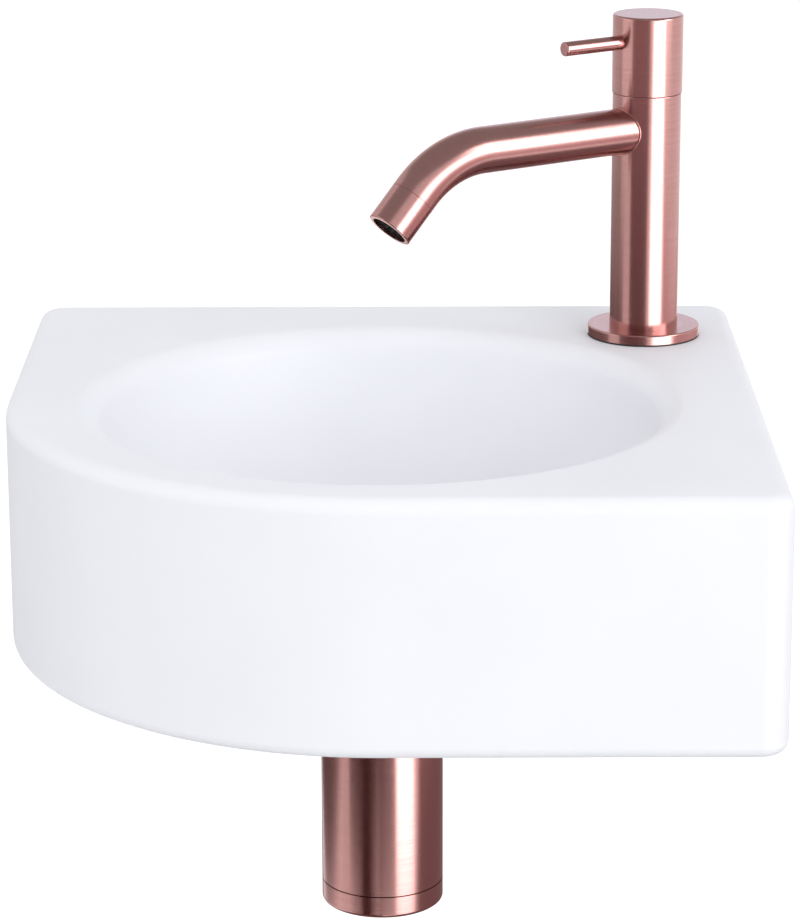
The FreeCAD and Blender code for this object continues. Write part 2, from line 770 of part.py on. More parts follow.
def make_trap_cup():
    """Cleaning cup: a flush base with a threaded spigot and a groove for its ring."""
    cup = rounded_at(disc(trap_diameter, trap_bottom, cup_top, drain_axis), trap_bottom, trap_edge)
    cup = cup.fuse(disc(cup_spigot_diameter, cup_top, cup_top + cup_spigot_height, drain_axis))
    cup = cup.cut(disc(cup_bore, trap_bottom + cup_floor, cup_top + cup_spigot_height, drain_axis))
    half = cup_ring_section / 2 + fit
    floor = 2 * (cup_ring_radius - half)
    return cup.cut(ring(trap_diameter, floor, cup_ring_z - half, cup_ring_z + half, drain_axis))


def make_cup_ring():
    return Part.makeTorus(cup_ring_radius, cup_ring_section / 2, V(drain_axis.x, drain_axis.y, cup_ring_z))


# Trap outlet

wall_end = bowl_setback + wall_entry


def make_outlet_nut():
    """Compression nut on the outlet socket."""
    lip_end = socket_end + outlet_nut_lip
    nut = along_outlet(outlet_nut_diameter, socket_end - outlet_nut_skirt, lip_end)
    nut = nut.cut(along_outlet(socket_diameter + 2 * fit, socket_end - outlet_nut_skirt, socket_end))
    return nut.cut(along_outlet(pipe_hole, socket_end, lip_end))


def make_outlet_seal():
    seal = along_outlet(neck_seal_diameter, outlet_seal_start, socket_end)
    return seal.cut(along_outlet(pipe_diameter + 2 * fit, outlet_seal_start, socket_end))


def make_outlet_pipe():
    """Straight pipe from the bottle's socket into the wall, with a scribed ring at its entry."""
    mark_end = bowl_setback + entry_mark_width
    mark = along_outlet(pipe_diameter + overrun, bowl_setback, mark_end)
    mark = mark.cut(along_outlet(pipe_diameter - 2 * entry_mark_depth, bowl_setback, mark_end))
    pipe = along_outlet(pipe_diameter, trap_diameter / 2, wall_end).cut(mark)
    return pipe.cut(along_outlet(pipe_bore, trap_diameter / 2, wall_end))


def rosette_outline(skin):
    """Dished rosette profile as (radius, distance from the wall), drawn in by a skin."""
    rim = rosette_diameter / 2 - skin
    collar = rosette_collar / 2 - skin
    return [(0, 0), (rim, 0), (rim, skin), (collar, rosette_depth - skin), (0, rosette_depth - skin)]


def turned_to_wall(shape):
    """A shape drawn about the upright axis, laid on the outlet's axis with its foot on the wall."""
    shape.rotate(V(0, 0, 0), V(1, 0, 0), FULL_TURN / 4)
    shape.translate(V(drain_axis.x, 0, outlet_z))
    return shape


def make_wall_rosette():
    """Thin dished cover with a collar that slips along the outlet pipe."""
    centre = V(0, 0, 0)
    cover = revolved([(0, 0), (rosette_diameter / 2, 0), (rosette_diameter / 2, rosette_wall),
                      (rosette_collar / 2, rosette_depth), (0, rosette_depth)], centre)
    inside = revolved(rosette_outline(rosette_wall), centre)
    cover = cover.cut(inside).fuse(disc(rosette_collar, rosette_depth - rosette_wall, rosette_collar_depth, centre))
    cover = cover.cut(disc(pipe_hole, 0, rosette_collar_depth, centre))
    ring_low = rosette_depth + rosette_wall
    groove = disc(pipe_diameter + 2 * rosette_ring_section, ring_low, ring_low + rosette_ring_section, centre)
    return turned_to_wall(cover.cut(groove))


def make_rosette_ring():
    """Rubber ring in the collar that grips the pipe."""
    ring_low = rosette_depth + rosette_wall
    outer = pipe_diameter + 2 * rosette_ring_section - 2 * fit
    inner = pipe_diameter + 2 * fit
    return turned_to_wall(ring(outer, inner, ring_low, ring_low + rosette_ring_section, V(0, 0, 0)))


across = V(-outward.y, outward.x, 0)

pieces = {
    "basin": make_basin(),
    "tap_base_gasket": make_base_gasket(),
    "tap_base_flange": make_base_flange(),
    "tap_body": make_tap_body(),
    "spout_tube": make_spout_tube(),
    "spout_outlet_sleeve": make_outlet_sleeve(),
    "aerator": make_aerator(),
    "aerator_seal": make_aerator_seal(),
    "handle_cap": make_handle_cap(),
    "lever_rod": make_lever_rod(),
    "handle_grub_screw": make_grub_screw(),
    "headwork_seat_seal": make_seat_seal(),
    "headwork_body": make_headwork_body(),
    "fixed_ceramic_disc": ported_disc(headwork_low, across),
    "turning_ceramic_disc": ported_disc(fixed_disc_top, outward),
    "spindle": make_spindle(),
    "spindle_seals": make_spindle_seals(),
    "spindle_clip": make_spindle_clip(),
    "tap_shank": make_tap_shank(),
    "tap_rubber_washer": make_tap_rubber_washer(),
    "tap_steel_washer": make_tap_steel_washer(),
    "tap_back_nut": make_tap_back_nut(),
    "waste_top_gasket": make_waste_gasket(),
    "waste_body": make_waste_body(),
    "drain_cap": make_drain_cap(),
    "drain_cap_stud": make_cap_stud(),
    "waste_rubber_washer": make_waste_rubber_washer(),
    "waste_slip_washer": make_waste_slip_washer(),
    "waste_back_nut": make_waste_back_nut(),
    "trap_union_nut": make_union_nut(),
    "trap_union_gasket": make_union_gasket(),
    "trap_dip_tube": make_dip_tube(),
    "trap_top_nut": make_top_nut(),
    "trap_top_seal": make_top_seal(),
    "trap_body": make_trap_body(),
    "trap_cup": make_trap_cup(),
    "trap_cup_ring": make_cup_ring(),
    "trap_outlet_nut": make_outlet_nut(),
    "trap_outlet_seal": make_outlet_seal(),
    "trap_outlet_pipe": make_outlet_pipe(),
    "wall_rosette": make_wall_rosette(),
    "rosette_ring": make_rosette_ring(),
}

os.makedirs("parts", exist_ok=True)
for name, shape in pieces.items():
    shape.exportStep("parts/" + name + ".step")
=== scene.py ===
"""Looks for a wall-hung hand basin with copper pillar tap and bottle trap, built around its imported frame."""

import json
import math

import bmesh
import bpy
from mathutils import Matrix, Vector

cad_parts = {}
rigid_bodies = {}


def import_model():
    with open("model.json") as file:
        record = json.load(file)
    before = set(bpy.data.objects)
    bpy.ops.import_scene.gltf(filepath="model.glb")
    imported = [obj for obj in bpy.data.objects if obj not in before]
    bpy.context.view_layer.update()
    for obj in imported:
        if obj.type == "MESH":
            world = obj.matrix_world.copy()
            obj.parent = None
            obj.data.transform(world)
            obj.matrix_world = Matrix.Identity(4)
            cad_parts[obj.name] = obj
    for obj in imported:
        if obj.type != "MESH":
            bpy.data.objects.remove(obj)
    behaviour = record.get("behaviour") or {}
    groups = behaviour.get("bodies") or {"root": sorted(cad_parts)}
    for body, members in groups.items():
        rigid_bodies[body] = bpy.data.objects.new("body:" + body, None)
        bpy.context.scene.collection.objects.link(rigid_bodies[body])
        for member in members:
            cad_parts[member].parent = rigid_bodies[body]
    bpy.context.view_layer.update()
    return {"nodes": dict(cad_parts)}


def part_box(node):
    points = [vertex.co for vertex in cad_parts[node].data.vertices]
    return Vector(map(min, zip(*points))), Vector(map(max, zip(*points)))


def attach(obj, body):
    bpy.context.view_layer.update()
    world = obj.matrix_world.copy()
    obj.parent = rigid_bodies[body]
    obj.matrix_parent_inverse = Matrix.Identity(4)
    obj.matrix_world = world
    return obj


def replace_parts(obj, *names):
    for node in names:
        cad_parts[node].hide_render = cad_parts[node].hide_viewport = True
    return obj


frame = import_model()

# Basin: one slip casting in fireclay under a white glaze, square with one quarter-round front corner.
# Its rim rolls softly into a round bowl, and the glaze pools a little thicker in the hollows.
mm = 0.001
block_low, block_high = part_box("basin")
deck = block_high.z
foot = block_low.z
round_corner = 150 * mm
square_corner = 11 * mm
deck_edge = 6 * mm
foot_edge = 5 * mm
skirt_wall = 15 * mm
deck_thickness = 15 * mm
hollow_top = deck - deck_thickness
hollow_corner = 6 * mm
cap_low, cap_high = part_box("drain_cap")
drain_axis = Vector(((cap_low.x + cap_high.x) / 2, (cap_low.y + cap_high.y) / 2, 0))
handle_low, handle_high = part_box("handle_cap")
tap_axis = Vector(((handle_low.x + handle_high.x) / 2, (handle_low.y + handle_high.y) / 2, 0))
tap_hole = 17.5 * mm
wall_holes = [Vector((x * mm, 0, 0)) for x in (-70, 70)]
wall_hole = 6.5 * mm
weld_gap = 0.001 * mm
# The bowl's section in millimetres, as radius from the drain's axis and height: down the inside from the
# deck, through the drain hole and its boss, and up the outside. Its corners are rounded by a width, in steps.
drain_hole = 22.5
bowl_corners = {"mouth": (113.0, 45.0), "sweep": (94.34, -24.62), "outer sweep": (104.89, -37.42)}
bowl_section = [(126.0, 45.0), bowl_corners["mouth"], bowl_corners["sweep"], (32.5, -28.95), (32.5, -32.95),
                (drain_hole, -32.95), (drain_hole, -47.25), (36.0, -47.25), (36.0, -42.24),
                bowl_corners["outer sweep"], (122.96, 30.0)]
bowl_rounds = {"mouth": (8.0, 14), "sweep": (57.05, 26), "outer sweep": (66.7, 22)}


def pick(kind, test, open_only=False):
    """In edit mode, select only the vertices, edges or faces whose corners all pass a test."""
    mesh = bmesh.from_edit_mesh(bpy.context.object.data)
    bpy.ops.mesh.select_all(action="DESELECT")
    bpy.ops.mesh.select_mode(type=kind)
    for item in {"VERT": mesh.verts, "EDGE": mesh.edges, "FACE": mesh.faces}[kind]:
        corners = [item] if kind == "VERT" else item.verts
        item.select_set(all(test(corner.co) for corner in corners) and (not open_only or item.is_boundary))
    bmesh.update_edit_mesh(bpy.context.object.data)


def near(one, other):
    """Whether two lengths are the same within a hundredth of a millimetre."""
    return abs(one - other) < 0.01 * mm


def draw_chain(points):
    """In edit mode, draw a chain of edges from point to point by extruding its end."""
    bpy.ops.mesh.select_mode(type="VERT")
    bpy.ops.mesh.select_all(action="DESELECT")
    bpy.ops.mesh.primitive_plane_add(size=mm, location=points[0])
    bpy.ops.mesh.merge(type="CENTER")
    for here, there in zip(points, points[1:]):
        bpy.ops.mesh.extrude_vertices_move(TRANSFORM_OT_translate={"value": there - here})


def named(name):
    """Name the active object and its mesh, and give it back."""
    bpy.context.object.name = name
    bpy.context.object.data.name = name
    return bpy.context.object


bpy.ops.object.select_all(action="DESELECT")
bpy.ops.mesh.primitive_cube_add(size=1, location=(block_low + block_high) / 2, scale=block_high - block_low)
basin = named("glazed_basin")
bpy.ops.object.transform_apply(location=True, rotation=True, scale=True)
bpy.ops.object.mode_set(mode="EDIT")
pick("EDGE", lambda p: near(p.x, block_low.x) and near(p.y, block_low.y))
bpy.ops.mesh.bevel(offset=round_corner, segments=72, affect="EDGES", clamp_overlap=False)
for x, y in ((block_high.x, block_low.y), (block_high.x, block_high.y), (block_low.x, block_high.y)):
    pick("EDGE", lambda p: near(p.x, x) and near(p.y, y))
    bpy.ops.mesh.bevel(offset=square_corner, segments=10, affect="EDGES", clamp_overlap=False)
for level, width in ((deck, deck_edge), (foot, foot_edge)):
    pick("EDGE", lambda p: near(p.z, level))
    bpy.ops.mesh.bevel(offset=width, segments=8, affect="EDGES", clamp_overlap=False)
    pick("FACE", lambda p: near(p.z, level))
    bpy.ops.mesh.delete(type="FACE")

hollow_low = block_low + Vector((skirt_wall, skirt_wall, 0))
hollow_high = block_high - Vector((skirt_wall, skirt_wall, 0))
hollow_middle = Vector(((hollow_low.x + hollow_high.x) / 2, (hollow_low.y + hollow_high.y) / 2, foot))
bpy.ops.mesh.select_all(action="DESELECT")
bpy.ops.mesh.primitive_plane_add(size=hollow_high.x - hollow_low.x, location=hollow_middle)
hollow_corners = [(hollow_low.x, hollow_low.y, round_corner - skirt_wall, 48)]
for x, y in ((hollow_high.x, hollow_low.y), (hollow_high.x, hollow_high.y), (hollow_low.x, hollow_high.y)):
    hollow_corners.append((x, y, hollow_corner, 6))
for x, y, radius, steps in hollow_corners:
    pick("VERT", lambda p: near(p.x, x) and near(p.y, y) and near(p.z, foot))
    bpy.ops.mesh.bevel(offset=radius, segments=steps, affect="VERTICES", clamp_overlap=False)
pick("FACE", lambda p: near(p.z, foot))
bpy.ops.mesh.delete(type="ONLY_FACE")
bpy.ops.mesh.select_mode(type="EDGE")
bpy.ops.mesh.select_non_manifold(extend=False, use_wire=True, use_boundary=False, use_multi_face=False,
                                 use_non_contiguous=False, use_verts=False)
bpy.ops.mesh.extrude_region_move(TRANSFORM_OT_translate={"value": (0, 0, hollow_top - foot)})

draw_chain([drain_axis + Vector((radius * mm, 0, height * mm)) for radius, height in bowl_section])
for corner, (width, steps) in bowl_rounds.items():
    radius, height = bowl_corners[corner]
    pick("VERT", lambda p: near(p.x, drain_axis.x + radius * mm) and near(p.z, height * mm))
    bpy.ops.mesh.bevel(offset=width * mm, segments=steps, affect="VERTICES", clamp_overlap=False)
pick("VERT", lambda p: near(p.y, drain_axis.y) and near(p.x, drain_axis.x + drain_hole * mm))
bpy.ops.mesh.select_linked()
bpy.ops.mesh.spin(steps=192, angle=2 * math.pi, center=drain_axis, axis=(0, 0, 1))
bpy.ops.mesh.select_all(action="DESELECT")
bpy.ops.mesh.primitive_circle_add(vertices=64, radius=tap_hole, location=(tap_axis.x, tap_axis.y, deck))
bpy.ops.mesh.extrude_region_move(TRANSFORM_OT_translate={"value": (0, 0, hollow_top - deck)})
bpy.ops.mesh.select_all(action="SELECT")
bpy.ops.mesh.remove_doubles(threshold=weld_gap)
for level in (deck, foot, hollow_top):
    pick("EDGE", lambda p: near(p.z, level), open_only=True)
    bpy.ops.mesh.fill()
bpy.ops.mesh.select_all(action="SELECT")
bpy.ops.mesh.normals_make_consistent(inside=False)
bpy.ops.object.mode_set(mode="OBJECT")


def cut(piece, tool, operation):
    """Cut a piece with a tool object, and put the tool away."""
    step = piece.modifiers.new(operation, "BOOLEAN")
    step.object = tool
    step.operation = operation
    step.solver = "EXACT"
    bpy.context.view_layer.objects.active = piece
    bpy.ops.object.modifier_apply(modifier=step.name)
    bpy.data.objects.remove(tool)


for place in wall_holes:
    bpy.ops.mesh.primitive_cylinder_add(vertices=48, radius=wall_hole, depth=4 * skirt_wall, location=place,
                                        rotation=(math.pi / 2, 0, 0))
    cut(basin, bpy.context.object, "DIFFERENCE")


def shade(piece, degrees):
    """Smooth a piece across its curves, with flat faces kept flat up to their rounded edges."""
    bpy.ops.object.select_all(action="DESELECT")
    piece.select_set(True)
    bpy.context.view_layer.objects.active = piece
    bpy.ops.object.shade_smooth_by_angle(angle=math.radians(degrees))
    flatten = piece.modifiers.new("flat faces", "WEIGHTED_NORMAL")
    flatten.keep_sharp = True
    bpy.ops.object.modifier_apply(modifier=flatten.name)


shade(basin, 35)


def srgb(code):
    """Linear colour from an sRGB hex value."""
    parts = [int(code[k:k + 2], 16) / 255 for k in (1, 3, 5)]
    return (*[c / 12.92 if c <= 0.04045 else ((c + 0.055) / 1.055) ** 2.4 for c in parts], 1)


def add(tree, kind, inputs, **options):
    """Add a node with its options, and set or link its inputs."""
    new = tree.nodes.new(kind)
    for option, value in options.items():
        setattr(new, option, value)
    for socket, value in inputs.items():
        if isinstance(value, bpy.types.NodeSocket):
            tree.links.new(value, new.inputs[socket])
        else:
            new.inputs[socket].default_value = value
    return new


def new_material(name):
    """An empty node material and its output."""
    material = bpy.data.materials.new(name)
    material.use_nodes = True
    material.node_tree.nodes.clear()
    return material, material.node_tree, material.node_tree.nodes.new("ShaderNodeOutputMaterial")


# Vitreous white glaze, sprayed and fired: a deep even white with a faint cloud of thickness about 60 mm wide
# and the soft orange peel, about 9 mm from crest to crest, that bends its reflections.
cloud_width = 60 * mm
peel_width = 9 * mm
peel_depth = 0.05 * mm
glaze, tree, output = new_material("white_glaze")
place = add(tree, "ShaderNodeTexCoord", {}).outputs["Object"]
cloud = add(tree, "ShaderNodeTexNoise",
            {"Vector": place, "Scale": 1 / cloud_width, "Detail": 3.0}).outputs["Fac"]
peel = add(tree, "ShaderNodeTexNoise",
           {"Vector": place, "Scale": 1 / peel_width, "Detail": 1.0}).outputs["Fac"]
tint = add(tree, "ShaderNodeMix",
           {"Factor": cloud, "A": srgb("#E9EBF1"), "B": srgb("#F0F2F7")}, data_type="RGBA")
gloss = add(tree, "ShaderNodeMapRange", {"Value": cloud, "To Min": 0.52, "To Max": 0.6}).outputs["Result"]
bump = add(tree, "ShaderNodeBump",
           {"Height": peel, "Strength": 1.0, "Distance": peel_depth}).outputs["Normal"]
shader = add(tree, "ShaderNodeBsdfPrincipled", {"Base Color": tint.outputs["Result"], "Roughness": gloss,
                                                "IOR": 1.52, "Normal": bump})
tree.links.new(shader.outputs["BSDF"], output.inputs["Surface"])
basin.data.materials.append(glaze)

# Bare fireclay on the wall face, the foot and the hollow underside: a matt cream body with grog grains
# about 0.8 mm across that show as darker specks and a dry, sandy bump.
grog_spacing = 2.4 * mm
sand_width = 1.2 * mm
sand_depth = 0.15 * mm
fireclay, tree, output = new_material("bare_fireclay")
place = add(tree, "ShaderNodeTexCoord", {}).outputs["Object"]
grog = add(tree, "ShaderNodeTexVoronoi", {"Vector": place, "Scale": 1 / grog_spacing}).outputs["Distance"]
sand = add(tree, "ShaderNodeTexNoise",
           {"Vector": place, "Scale": 1 / sand_width, "Detail": 4.0}).outputs["Fac"]
speck = add(tree, "ShaderNodeMapRange", {"Value": grog, "From Min": 0.1, "From Max": 0.3}).outputs["Result"]
tint = add(tree, "ShaderNodeMix",
           {"Factor": speck, "A": srgb("#C9BEA8"), "B": srgb("#E2DCCE")}, data_type="RGBA")
bump = add(tree, "ShaderNodeBump",
           {"Height": sand, "Strength": 0.6, "Distance": sand_depth}).outputs["Normal"]
shader = add(tree, "ShaderNodeBsdfPrincipled", {"Base Color": tint.outputs["Result"], "Roughness": 0.88,
                                                "Normal": bump})
tree.links.new(shader.outputs["BSDF"], output.inputs["Surface"])
basin.data.materials.append(fireclay)
# Left bare: the wall face, the foot, and all inside the skirt that the glaze doesn't reach from above.
bare_depth = skirt_wall - mm
wall_margin = 0.2 * mm
bowl_reach = 127 * mm
drain_reach = 33 * mm
boss_foot = -46 * mm
least_rise = 0.02
corner_centre = Vector((0, block_low.y + round_corner, 0))
for face in basin.data.polygons:
    spot = Vector((face.center.x, face.center.y, 0))
    on_wall = spot.y > -wall_margin
    on_foot = near(face.center.z, foot)
    inside = (abs(spot.x) < block_high.x - bare_depth and spot.y > block_low.y + bare_depth
              and spot.y < -bare_depth and face.center.z < hollow_top + mm)
    axis_distance = (spot - drain_axis).length
    in_corner = (spot.x < 0 and spot.y < corner_centre.y
                 and (spot - corner_centre).length > round_corner - bare_depth)
    from_above = face.normal.z > least_rise and axis_distance < bowl_reach
    in_drain = axis_distance < drain_reach and face.center.z > boss_foot
    if on_wall or on_foot or (inside and not in_corner and not from_above and not in_drain):
        face.material_index = 1
# The photograph's metal mirrors its studio and not the basin.
basin.visible_glossy = False
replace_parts(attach(basin, "basin_assembly"), "basin")

# Tap foot: a round plate turned from brass, clamped onto a thin rubber gasket by the back nut below the deck.
# Like all the visible metal it has a rose copper coat over a finely brushed surface.


def dress(material, *nodes):
    """Give CAD nodes a material."""
    for name in nodes:
        frame["nodes"][name].material_slots[0].material = material


# Moulded black rubber: matt, with a fine talc-dusted grain about 0.6 mm wide.
talc_grain = 0.6 * mm
talc_depth = 0.04 * mm
rubber, tree, output = new_material("black_rubber")
place = add(tree, "ShaderNodeTexCoord", {}).outputs["Object"]
grain = add(tree, "ShaderNodeTexNoise",
            {"Vector": place, "Scale": 1 / talc_grain, "Detail": 3.0}).outputs["Fac"]
tint = add(tree, "ShaderNodeMix",
           {"Factor": grain, "A": srgb("#161617"), "B": srgb("#2A2A2B")}, data_type="RGBA")
bump = add(tree, "ShaderNodeBump",
           {"Height": grain, "Strength": 0.4, "Distance": talc_depth}).outputs["Normal"]
shader = add(tree, "ShaderNodeBsdfPrincipled", {"Base Color": tint.outputs["Result"], "Roughness": 0.7,
                                                "Normal": bump})
tree.links.new(shader.outputs["BSDF"], output.inputs["Surface"])
dress(rubber, "aerator_seal", "headwork_seat_seal", "spindle_seals", "tap_rubber_washer", "waste_top_gasket",
      "waste_rubber_washer", "trap_union_gasket", "trap_top_seal", "trap_cup_ring", "trap_outlet_seal",
      "rosette_ring")


def brushed(name, dark, light, smooth, rough, centre=None, way=Vector((0, 0, 1))):
    """Metal brushed in rings about an axis, or about a piece's own bent length where no centre is given."""
    material, tree, output = new_material(name)
    place = add(tree, "ShaderNodeTexCoord", {}).outputs["Object"]
    if centre is None:
        along = add(tree, "ShaderNodeAttribute", {}, attribute_name="along").outputs["Fac"]
    else:
        turn = way.to_track_quat("Z", "Y").to_euler()
        place = add(tree, "ShaderNodeMapping", {"Vector": place, "Location": centre, "Rotation": turn},
                    vector_type="TEXTURE").outputs["Vector"]
        flat = add(tree, "ShaderNodeVectorMath", {0: place, 1: (1, 1, 0)},
                   operation="MULTIPLY").outputs["Vector"]
        radius = add(tree, "ShaderNodeVectorMath", {0: flat}, operation="LENGTH").outputs["Value"]
        height = add(tree, "ShaderNodeSeparateXYZ", {"Vector": place}).outputs["Z"]
        along = add(tree, "ShaderNodeMath", {0: radius, 1: height}).outputs["Value"]
    # The real scratches are about 0.1 mm apart: 0.5 mm is as fine as this picture can show. They fade into
    # one another over about 30 mm.
    scratch_spacing = 0.5 * mm
    scratch_length = 30 * mm
    scratch_depth = 0.004 * mm
    lines = add(tree, "ShaderNodeCombineXYZ", {"Z": along}).outputs["Vector"]
    lines = add(tree, "ShaderNodeVectorMath", {0: lines, "Scale": 1 / scratch_spacing},
                operation="SCALE").outputs["Vector"]
    drift = add(tree, "ShaderNodeVectorMath", {0: place, "Scale": 1 / scratch_length},
                operation="SCALE").outputs["Vector"]
    lines = add(tree, "ShaderNodeVectorMath", {0: lines, 1: drift}).outputs["Vector"]
    scratch = add(tree, "ShaderNodeTexNoise", {"Vector": lines, "Scale": 1.0, "Detail": 4.0}).outputs["Fac"]
    scratch = add(tree, "ShaderNodeMapRange",
                  {"Value": scratch, "From Min": 0.25, "From Max": 0.75}).outputs["Result"]
    tint = add(tree, "ShaderNodeMix",
               {"Factor": scratch, "A": srgb(dark), "B": srgb(light)}, data_type="RGBA")
    gloss = add(tree, "ShaderNodeMapRange",
                {"Value": scratch, "To Min": rough, "To Max": smooth}).outputs["Result"]
    # End faces, and the top and underside of the bent spout, are polished a little less than the sides.
    end_roughness = 0.06
    facing = add(tree, "ShaderNodeTexCoord", {}).outputs["Normal"]
    facing = add(tree, "ShaderNodeVectorMath", {0: facing, 1: way}, operation="DOT_PRODUCT").outputs["Value"]
    facing = add(tree, "ShaderNodeMath", {0: facing}, operation="ABSOLUTE").outputs["Value"]
    gloss = add(tree, "ShaderNodeMath", {0: facing, 1: end_roughness, 2: gloss},
                operation="MULTIPLY_ADD").outputs["Value"]
    bump = add(tree, "ShaderNodeBump",
               {"Height": scratch, "Strength": 0.35, "Distance": scratch_depth}).outputs["Normal"]
    shader = add(tree, "ShaderNodeBsdfPrincipled", {"Base Color": tint.outputs["Result"], "Metallic": 1.0,
                                                    "Roughness": gloss, "Normal": bump})
    tree.links.new(shader.outputs["BSDF"], output.inputs["Surface"])
    return material


# Rose copper coat on brass, brushed in rings on a lathe: a warm pink metal whose fine circular lines spread
# each reflection along the piece's axis and leave its edges across the piece fairly crisp.
rose_dark = "#B88884"
rose_light = "#C0918D"
rose_smooth = 0.17
rose_rough = 0.22
tap_copper = brushed("rose_copper_tap", rose_dark, rose_light, rose_smooth, rose_rough, tap_axis)
dress(tap_copper, "tap_base_flange")

# Gasket under the foot: a flat ring of moulded black rubber, clamped by the back nut. It is drawn out to the
# plate's edge, and its dark rim stands in for the shade in the gap under the plate: painted shade.
flange_low, flange_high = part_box("tap_base_flange")
gasket_low, gasket_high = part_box("tap_base_gasket")
# Out to the plate's own radius, so that the rubber's rim draws the painted shade line under the foot.
gasket_radius = (flange_high.x - flange_low.x) / 2
gasket_edge = 0.25 * mm
bpy.ops.object.select_all(action="DESELECT")
bpy.ops.mesh.primitive_cylinder_add(vertices=96, radius=gasket_radius, depth=gasket_high.z - gasket_low.z,
                                    end_fill_type="NOTHING",
                                    location=(tap_axis.x, tap_axis.y, (gasket_high.z + gasket_low.z) / 2))
gasket = named("gasket_with_painted_shade_rim")
bpy.ops.object.transform_apply(location=True, rotation=True, scale=True)
ring = gasket.modifiers.new("ring width", "SOLIDIFY")
ring.thickness = gasket_radius - tap_hole
ring.offset = -1
bpy.ops.object.modifier_apply(modifier=ring.name)
bpy.ops.object.mode_set(mode="EDIT")
pick("EDGE", lambda p: near((p - tap_axis).xy.length, gasket_radius) and near(p.z, gasket_high.z))
bpy.ops.mesh.bevel(offset=gasket_edge, segments=3, affect="EDGES")
bpy.ops.object.mode_set(mode="OBJECT")
shade(gasket, 40)
gasket.data.materials.append(rubber)
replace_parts(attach(gasket, "basin_assembly"), "tap_base_gasket")

# Pillar: a straight piece of brass bar, turned and bored from the top for the valve, with the spout let into
# its side. It stands on the foot and is drawn down by its threaded tail.
dress(tap_copper, "tap_body")

# Spout: a brass tube bent down at its end and brazed into the pillar, so it does not swivel. It is brushed
# around its own length, through the bend.
spout_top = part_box("spout_tube")[1].z
spout_turn = math.radians(33.5)
outward = Vector((-math.cos(spout_turn), -math.sin(spout_turn), 0))
upward = Vector((0, 0, 1))
spout_radius = 9.6 * mm
spout_wall = 1.9 * mm
spout_run = 83.4 * mm
spout_bend = math.radians(46.2)
bend_radius = 44.3 * mm
spout_tail = 3.5 * mm
end_bevel = 0.2 * mm
pillar_radius = 14.35 * mm
spout_root = 10.56 * mm
spout_start = Vector((tap_axis.x, tap_axis.y, spout_top - spout_radius))
bend_centre = spout_start + outward * spout_run - upward * bend_radius
outlet_way = outward * math.cos(spout_bend) - upward * math.sin(spout_bend)
bend_end = bend_centre + (outward * math.sin(spout_bend) + upward * math.cos(spout_bend)) * bend_radius
bpy.ops.object.select_all(action="DESELECT")
bpy.ops.mesh.primitive_circle_add(vertices=96, radius=spout_radius,
                                  location=spout_start + outward * spout_root,
                                  rotation=outward.to_track_quat("Z", "Y").to_euler())
spout = named("brushed_spout")
bpy.ops.object.transform_apply(location=True, rotation=True, scale=True)
bpy.ops.object.mode_set(mode="EDIT")
bpy.ops.mesh.select_all(action="SELECT")
bpy.ops.mesh.extrude_region_move(TRANSFORM_OT_translate={"value": outward * (spout_run - spout_root)})
bpy.ops.mesh.spin(steps=32, angle=spout_bend, center=bend_centre, axis=outward.cross(upward))
bpy.ops.mesh.extrude_region_move(TRANSFORM_OT_translate={"value": outlet_way * spout_tail})
bpy.ops.mesh.select_all(action="SELECT")
bpy.ops.mesh.remove_doubles(threshold=weld_gap)
bpy.ops.mesh.normals_make_consistent(inside=False)
bpy.ops.object.mode_set(mode="OBJECT")
wall = spout.modifiers.new("tube wall", "SOLIDIFY")
wall.thickness = spout_wall
wall.offset = -1
bpy.ops.object.modifier_apply(modifier=wall.name)
sleeve_start = bend_end + outlet_way * spout_tail
bpy.ops.object.mode_set(mode="EDIT")
pick("EDGE", lambda p: near((p - sleeve_start).length, spout_radius))
bpy.ops.mesh.bevel(offset=end_bevel, segments=1, affect="EDGES")
bpy.ops.object.mode_set(mode="OBJECT")
shade(spout, 40)
along = spout.data.attributes.new("along", "FLOAT", "POINT")
for vertex in spout.data.vertices:
    reach = (vertex.co - spout_start).dot(outward)
    turned = math.atan2((vertex.co - bend_centre).dot(outward), (vertex.co - bend_centre).dot(upward))
    if reach >= spout_run and turned < spout_bend:
        reach = spout_run + bend_radius * turned
    elif reach >= spout_run:
        reach = spout_run + bend_radius * spout_bend + (vertex.co - bend_end).dot(outlet_way)
    along.data[vertex.index].value = reach
spout.data.materials.append(brushed("rose_copper_spout", rose_dark, rose_light, rose_smooth, rose_rough))
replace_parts(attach(spout, "basin_assembly"), "spout_tube")

# Braze bead: the small fillet of filler metal that ran in where the spout meets the pillar. It is polished
# brighter than the brushed tubes and has the same copper coat.
bead_thickness = 0.4 * mm
bead_lift = 0.4 * bead_thickness
bead_smooth = 0.1
bead_rough = 0.14
bpy.ops.object.select_all(action="DESELECT")
bpy.ops.mesh.primitive_circle_add(vertices=96, radius=spout_radius + bead_lift,
                                  location=spout_start + outward * 2 * pillar_radius,
                                  rotation=outward.to_track_quat("Z", "Y").to_euler())
bead = named("braze_bead")
lay = bead.modifiers.new("lay on pillar", "SHRINKWRAP")
lay.target = frame["nodes"]["tap_body"]
lay.wrap_method = "PROJECT"
lay.use_project_z = True
lay.use_negative_direction = True
lay.use_positive_direction = False
bpy.ops.object.modifier_apply(modifier=lay.name)
bpy.ops.object.transform_apply(location=True, rotation=True, scale=True)
bpy.ops.object.convert(target="CURVE")
bpy.context.object.data.bevel_depth = bead_thickness
bpy.context.object.data.bevel_resolution = 3
bpy.ops.object.convert(target="MESH")
bead = named("braze_bead")
shade(bead, 60)
bead.data.materials.append(brushed("rose_copper_bead", rose_dark, rose_light, bead_smooth, bead_rough,
                                   spout_start, outward))
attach(bead, "basin_assembly")

# Outlet sleeve and aerator: a short turned sleeve screwed onto the spout's end, which holds a moulded plastic
# flow insert and its rubber ring.
dress(brushed("rose_copper_sleeve", rose_dark, rose_light, rose_smooth, rose_rough, sleeve_start, outlet_way),
      "spout_outlet_sleeve")

